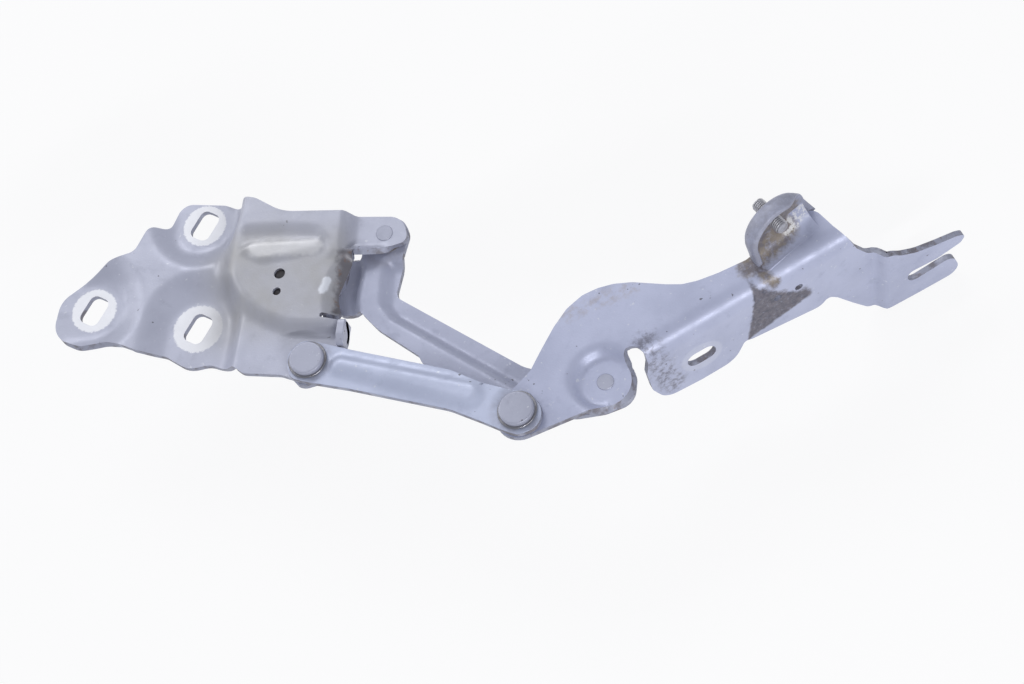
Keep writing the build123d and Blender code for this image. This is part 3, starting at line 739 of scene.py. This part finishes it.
def spot_mask(paint, x, y, z, reach, soft, ragged, scale):
    """A ragged round spot about a place counted from pivot A."""
    wobble = (paint.noise(scale, 4, 0.6, seed=0.07 * reach) - 0.5) * (2 * ragged)
    return (paint.from_point(in_row(x, y, z)) + wobble).step(reach * MM, (reach - soft) * MM)


def streak(paint, a, b, reach, soft, ragged):
    """A ragged band along the line from a to b."""
    ab = b - a
    gap = [axis - start for axis, start in zip((paint.x, paint.y, paint.z), a)]
    t = sum(g * (w / ab.length_squared) for g, w in zip(gap, ab)).clamped()
    off = [g - t * w for g, w in zip(gap, ab)]
    distance = sum(o * o for o in off) ** 0.5
    wobble = (paint.noise(350, 5, 0.65, seed=0.11 * reach) - 0.5) * (2 * ragged)
    return (distance + wobble).step(reach * MM, (reach - soft) * MM)


def bracket_marks(paint, colour, rough):
    """Primer rings round the slots, a warm panel, its lip darkened by rust and by painted shade, and two
    rubbed places.
    """
    x, y = from_pivot_a(paint)
    ragged = (paint.noise(700, 4, 0.65, seed=0.4) - 0.5) * 0.0026
    for place, reach in zip(slot_places, RING_REACHES):
        middle = in_row(*place, 0)
        ring = (paint.from_axis(middle.x, middle.y) + ragged).step(reach * MM, (reach - 0.9) * MM)
        colour = paint.blend(ring * 0.9, colour, PRIMER)
        rough = rough + ring * 0.15
    warm = y.step(2, 30) * x.step(-75, -45) * x.step(16, 6) * y.step(74, 60, 0.35, 1.0)
    soiled = paint.noise(26, 4, 0.6, seed=0.77).step(0.3, 0.6, 0.6, 1.0)
    colour = paint.blend(warm * soiled, colour, PANEL_SOIL)
    # The lip is painted dark: rust spots, and painted shade where the folded edge lies in shadow
    lip = (x + (paint.noise(300, 4, 0.6) - 0.5) * 5).step(5.5, 9.0) * y.step(24, 26) * y.step(58, 55)
    lip_rust_and_shade = paint.blend(paint.noise(380, 5, 0.65, seed=0.8).step(0.52, 0.68) * 0.7, LIP_METAL_AND_SHADE, RUST)
    colour = paint.blend(lip * 0.95, colour, lip_rust_and_shade)
    bare = streak(paint, in_row(3.4, 40.5, 21), in_row(2.0, 35.5, 21), 2.6, 1.4, 0.0012)
    colour = paint.blend(bare * 0.7, colour, RUBBED)
    pale = streak(paint, in_row(-34, 56.5, 22.5), in_row(-6, 58, 22.5), 5.5, 3, 0.0015)
    return paint.blend(pale * 0.45, colour, PALE_CREST), rough


def link_marks(places):
    """Grease round the pivots of one link, each place with its reach."""
    def marks(paint, colour, rough):
        for x, y, z, reach in places:
            spot = spot_mask(paint, x, y, z, reach, 5, 0.002, 260)
            grease = spot * paint.noise(160, 3, 0.5, seed=0.6).step(0.3, 0.6)
            colour = paint.blend(grease * 0.4, colour, LINK_GREASE)
        return colour, rough
    return marks


def bare_steel(name, shade, metal, rough, dirt=0.4):
    """Unpainted steel with greasy clouds."""
    steel = Finish(name)
    cloud = steel.noise(300, 5, 0.62, seed=0.3)
    colour = steel.blend(cloud.step(0.45, 0.7) * dirt, linear(*shade), GREASE)
    shine = cloud.step(0.35, 0.7, rough, rough + 0.18)
    return steel.close(colour, shine, metal, steel.noise(1500, 2, 0.5), 0.00005)


def charcoal_patch(paint):
    """The dark patch on the flange below the lug: where it lies, in the flange's own directions."""
    x, y = from_pivot_a(paint)
    wave = (paint.noise(240, 5, 0.65, seed=0.7) - 0.5) * 5
    u = (x - PIVOT_D[0]) * arm_along.x + (y - PIVOT_D[1]) * arm_along.y + wave
    v = paint.z / MM + wave
    left = (u - v * 0.3).step(72.0, 73.6)
    top = (v + u * 1.06).math("MINIMUM", v + u * 0.45 + 57.6).step(100.5, 96.5)
    bottom = (v - u * 0.22).step(-35.5, -33.5)
    return left * top * bottom * u.step(102.5, 100.0)


def arm_marks(paint, colour, rough):
    """Soil and scuffs on the web, the charcoal patch, a brown stain at the lug, and the bolt's print."""
    warm = streak(paint, in_arm(0, 37, 16), in_arm(34, 33, 16), 6, 5, 0.004)
    warm = warm * paint.noise(300, 4, 0.6).step(0.4, 0.7)
    colour = paint.blend(warm * 0.45, colour, WEB_SOIL)
    scuffs = streak(paint, in_arm(24, 4, 15), in_arm(27, -1, -20), 9, 6, 0.005)
    scuffs = scuffs * paint.noise(330, 6, 0.75).step(0.4, 0.62)
    colour = paint.blend(scuffs * 0.85, colour, SCUFF)
    patch = charcoal_patch(paint)
    dark = paint.blend(paint.noise(420, 5, 0.7, seed=0.45).step(0.35, 0.65), PATCH_DARK, PATCH_LIGHT)
    cover = paint.noise(520, 5, 0.7, seed=0.3).step(0.2, 0.5, 0.55, 0.95)
    colour = paint.blend(patch * cover, colour, dark)
    below = streak(paint, in_arm(83, 13, 17), in_arm(87, 2, 12), 5, 3, 0.003)
    beside = streak(paint, in_arm(82, 12, 19), in_arm(104, 15, 23), 8.5, 4, 0.003)
    stain = paint.blend(paint.noise(200, 4, 0.6, seed=0.95).step(0.4, 0.6), BROWN, BROWN_GREY)
    cover = paint.noise(380, 5, 0.7, seed=0.15).step(0.25, 0.55, 0.5, 0.95)
    colour = paint.blend(below.math("MAXIMUM", beside) * cover, colour, stain)
    flakes = streak(paint, in_arm(106, 17, 21), in_arm(117, 20, 24), 5.0, 2.5, 0.004)
    flakes = flakes * paint.noise(420, 5, 0.7).step(0.45, 0.55)
    colour = paint.blend(flakes * 0.8, colour, FLAKE)
    ring = paint.from_point(in_arm(44.2, -1, -11.1)).step(0.0112, 0.0095)
    return paint.blend(ring * 0.2, colour, BOLT_PRINT), rough + patch * 0.12


def lug_marks(paint, colour, rough):
    """Dirt on the lug, and inside its cup grease darkened further with painted shade."""
    dirt = paint.noise(180, 6, 0.7, seed=0.35).step(0.3, 0.6)
    colour = paint.blend(dirt * 0.4, colour, LUG_DIRT)
    edge = (paint.noise(300, 5, 0.6) - 0.5) * 0.007
    # The whole inside of the cup is darkened: grease, and painted shade for the hollow
    inside = (paint.from_point(in_lug(0, LUG_Z, 2)) + edge).step(0.0155, 0.0125)
    cup = paint.blend(paint.noise(500, 5, 0.7).step(0.45, 0.6), CUP_GREASE_AND_SHADE_DEEP, CUP_GREASE_AND_SHADE_PALE)
    return paint.blend(inside * 0.8, colour, cup), rough + 0.08


def cut_edge(name):
    """The sheared edge of the sheet: dark, with rust spots and places that the paint still covers."""
    edge = Finish(name)
    dark = edge.noise(170, 5, 0.6, seed=0.2).step(0.46, 0.62)
    colour = edge.blend(dark * 0.75, SHEARED_PALE, SHEARED_DARK)
    colour = edge.blend(edge.noise(600, 4, 0.65, seed=0.6).step(0.6, 0.7) * 0.7, colour, RUST)
    colour = edge.blend(edge.noise(90, 3, 0.6, seed=0.8).step(0.56, 0.66) * 0.8, colour, SHEARED_PAINT)
    return edge.close(colour, 0.55, 0.3, edge.noise(1400, 3, 0.6), 0.0001)


front_grease = link_marks([(0, 0, 18, 14), (*PIVOT_C, 18, 15)])
rear_grease = link_marks([(*PIVOT_B, 12, 18), (*PIVOT_D, 8, 18)])
bracket_paint = painted_steel("bracket_paint", (178, 181, 198), bracket_marks)
front_paint = painted_steel("front_link_paint", (184, 191, 214), front_grease)
rear_paint = painted_steel("rear_link_paint", (172, 176, 197), rear_grease)
arm_paint = painted_steel("arm_paint", (176, 181, 205), arm_marks)
# The rivets carry the links' paint made darker: painted shade on the rivet heads
shaded_rivet_paint = painted_steel("shaded_rivet_paint", (165, 168, 185))
lug_paint = painted_steel("lug_paint", (170, 174, 194), lug_marks)
bush_metal = bare_steel("bush_metal", (150, 140, 125), 0.8, 0.4)
washer_metal = bare_steel("washer_metal", (140, 140, 146), 0.85, 0.38)
stud_metal = bare_steel("stud_metal", (190, 190, 196), 0.9, 0.3, 0.25)
# Near-black finish of the discs under the small holes: painted shade
hole_shade_black = bare_steel("hole_shade_black", (52, 50, 54), 0.2, 0.6, 0.3)
sheared_edge = cut_edge("sheared_edge")
small_finishes = {"rivet": shaded_rivet_paint, "bush": bush_metal, "washer": washer_metal, "stud": stud_metal}
for name, node in nodes.items():
    finishes = [finish for word, finish in small_finishes.items() if word in name]
    node.data.shade_smooth()
    node.data.set_sharp_from_angle(angle=radians(30))
    node.data.materials.clear()
    node.data.materials.append(finishes[0] if finishes else arm_paint)
for piece, finish in ((bracket, bracket_paint), (front, front_paint), (rear, rear_paint), (arm, arm_paint)):
    piece.data.materials.append(finish)
    piece.data.materials.append(sheared_edge)
for piece, finish in ((tab, bracket_paint), (lug, lug_paint), (fillet, arm_paint), (stud, stud_metal),
                      (gauge_hole_shading, hole_shade_black), (drain_hole_shading, hole_shade_black)):
    piece.data.materials.append(finish)

# Camera: the photograph's long lens, from above the hinge's near side
PHOTO_WIDTH = 1024
FOCAL_PIXELS = 2860
SENSOR = 36.0
CAMERA_AWAY = 1.3
camera_right = Vector((0.961, 0.120, -0.25)).normalized()
camera_up = Vector((0.0, 0.9015, 0.433)).normalized()
camera_back = camera_right.cross(camera_up)
camera = bpy.data.objects.new("camera", bpy.data.cameras.new("camera"))
bpy.context.scene.collection.objects.link(camera)
camera.data.sensor_width = SENSOR
camera.data.lens = FOCAL_PIXELS / PHOTO_WIDTH * SENSOR
camera.data.clip_start = 0.05
camera.data.clip_end = 20
target = Vector((0.157789, -0.010204, 0.010))
axes = Matrix((camera_right, camera_up, camera_back)).transposed()
camera.matrix_world = Matrix.Translation(target + camera_back * CAMERA_AWAY) @ axes.to_4x4()
bpy.context.scene.camera = camera

# Floor and light
FLOOR_Z = -0.056
FLOOR_HALF = 6
floor_mesh = bpy.data.meshes.new("floor")
floor_corners = [(u * FLOOR_HALF, v * FLOOR_HALF, FLOOR_Z) for u, v in ((-1, -1), (1, -1), (1, 1), (-1, 1))]
floor_mesh.from_pydata(floor_corners, [], [(0, 1, 2, 3)])
floor = placed("floor", floor_mesh)
ground = Finish("floor_white")
ray = ground.add("ShaderNodeLightPath", out="Is Camera Ray")
for kind in ("Glossy", "Transmission"):
    ray = ray + ground.add("ShaderNodeLightPath", out=f"Is {kind} Ray")
matt = ground.add("ShaderNodeBsdfDiffuse", None, {"Color": (0.82, 0.82, 0.83, 1)})
glow = ground.add("ShaderNodeEmission", None, {"Color": (0.985, 0.985, 0.99, 1), "Strength": 1.0})
ground.add_output(ground.add("ShaderNodeMixShader", None, {0: ray.clamped() * 0.9, 1: matt, 2: glow}))
floor_mesh.materials.append(ground.material)


def lamp(name, place, size, watts, aim=(0.16, 0.0, 0.0), length=(0, 0, 1)):
    """A soft lamp whose long side lies along length."""
    light = bpy.data.lights.new(name, "AREA")
    light.shape = "RECTANGLE"
    light.size, light.size_y = size
    light.energy = watts
    holder = bpy.data.objects.new(name, light)
    back = (Vector(place) - Vector(aim)).normalized()
    side = Vector(length).cross(back).normalized()
    turned = Matrix((side, back.cross(side), back)).transposed().to_4x4()
    holder.matrix_world = Matrix.Translation(place) @ turned
    bpy.context.scene.collection.objects.link(holder)


lamp("window", (-0.7, 1.5, 1.5), (1.4, 0.7), 17)
lamp("left_card", (-1.6, 0.5, 0.7), (1.0, 1.2), 9)
lamp("strip", (0.92, -1.01, 0.71), (0.05, 0.9), 10, (0.25, 0.0, 0.01), (0.832, 0.555, 0))
world = bpy.data.worlds.new("studio")
bpy.context.scene.world = world
world.use_nodes = True
sky = world.node_tree.nodes["Background"].inputs
sky["Color"].default_value = (0.92, 0.94, 1.0, 1)
sky["Strength"].default_value = 0.5
bpy.context.scene.view_settings.view_transform = "Standard"
